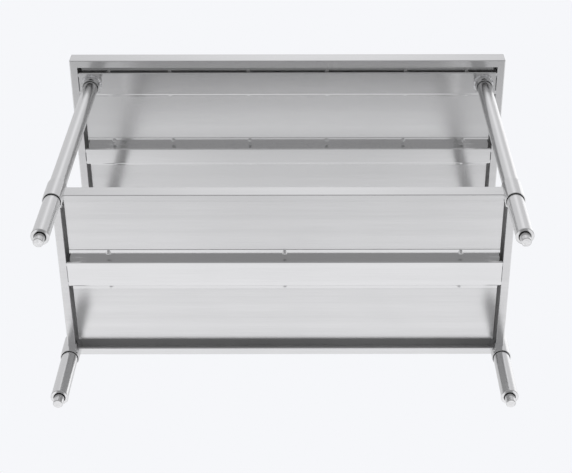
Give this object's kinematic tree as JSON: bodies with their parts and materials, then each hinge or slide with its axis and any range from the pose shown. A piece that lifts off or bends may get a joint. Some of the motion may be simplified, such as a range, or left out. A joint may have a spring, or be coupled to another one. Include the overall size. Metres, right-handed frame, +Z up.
{
  "type": "work table with undershelf",
  "caption": "Rectangular stainless steel work table: flat top and undershelf with folded edges on round tube legs with levelling feet.",
  "frame": {"origin": "on the floor under the centre of the worktop, with the feet at z = 0", "axes": "+X along the table's length, +Y from front to back, +Z up"},
  "size_m": [1.219, 0.6, 0.914],
  "materials": {
    "sheet_steel": "brushed stainless sheet, grain along the table's length",
    "channel_steel": "brushed stainless sheet, folded",
    "tube_steel": "polished stainless tube with a fine grain along it",
    "socket_steel": "satin stainless tube",
    "weld_metal": "rough stainless weld bead, wire brushed",
    "fastener_steel": "bright stainless fasteners",
    "backing_panel": "board faced with brushed stainless sheet on its underside",
    "foot_metal": "satin turned metal"
  },
  "bodies": {
    "table": {"top_front_channel": "channel_steel", "top_front_weld_studs": "fastener_steel", "top_front_cap_nuts": "fastener_steel", "top_middle_channel": "channel_steel", "top_middle_weld_studs": "fastener_steel", "top_middle_cap_nuts": "fastener_steel", "top_rear_channel": "channel_steel", "top_rear_weld_studs": "fastener_steel", "top_rear_cap_nuts": "fastener_steel", "top_pan": "sheet_steel", "top_backing": "backing_panel", "top_tack_welds": "weld_metal", "leg_socket_welds": "weld_metal", "leg_socket_set_screws": "fastener_steel", "leg_socket_front_left": "socket_steel", "leg_front_left": "tube_steel", "foot_insert_front_left": "foot_metal", "leg_socket_front_right": "socket_steel", "leg_front_right": "tube_steel", "foot_insert_front_right": "foot_metal", "leg_socket_rear_left": "socket_steel", "leg_rear_left": "tube_steel", "foot_insert_rear_left": "foot_metal", "leg_socket_rear_right": "socket_steel", "leg_rear_right": "tube_steel", "foot_insert_rear_right": "foot_metal"},
    "shelf": {"shelf_pan": "sheet_steel", "shelf_backing": "backing_panel", "shelf_channel": "channel_steel", "shelf_weld_studs": "fastener_steel", "shelf_cap_nuts": "fastener_steel", "shelf_tack_welds": "weld_metal", "shelf_set_screws": "fastener_steel", "shelf_sleeve_front_left": "socket_steel", "shelf_sleeve_front_right": "socket_steel", "shelf_sleeve_rear_left": "socket_steel", "shelf_sleeve_rear_right": "socket_steel"},
    "foot_front_left": {"foot_front_left": "foot_metal", "foot_stud_front_left": "fastener_steel"},
    "foot_front_right": {"foot_front_right": "foot_metal", "foot_stud_front_right": "fastener_steel"},
    "foot_rear_left": {"foot_rear_left": "foot_metal", "foot_stud_rear_left": "fastener_steel"},
    "foot_rear_right": {"foot_rear_right": "foot_metal", "foot_stud_rear_right": "fastener_steel"}
  },
  "joints": [
    {"name": "shelf_height", "type": "slide", "parent": "table", "child": "shelf", "axis": [0, 0, 1], "range_m": [-0.1, 0.4]},
    {"name": "foot_front_left_adjust", "type": "slide", "parent": "table", "child": "foot_front_left", "axis": [0, 0, -1], "range_m": [-0.006, 0.02]},
    {"name": "foot_front_right_adjust", "type": "slide", "parent": "table", "child": "foot_front_right", "axis": [0, 0, -1], "range_m": [-0.006, 0.02]},
    {"name": "foot_rear_left_adjust", "type": "slide", "parent": "table", "child": "foot_rear_left", "axis": [0, 0, -1], "range_m": [-0.006, 0.02]},
    {"name": "foot_rear_right_adjust", "type": "slide", "parent": "table", "child": "foot_rear_right", "axis": [0, 0, -1], "range_m": [-0.006, 0.02]}
  ]
}
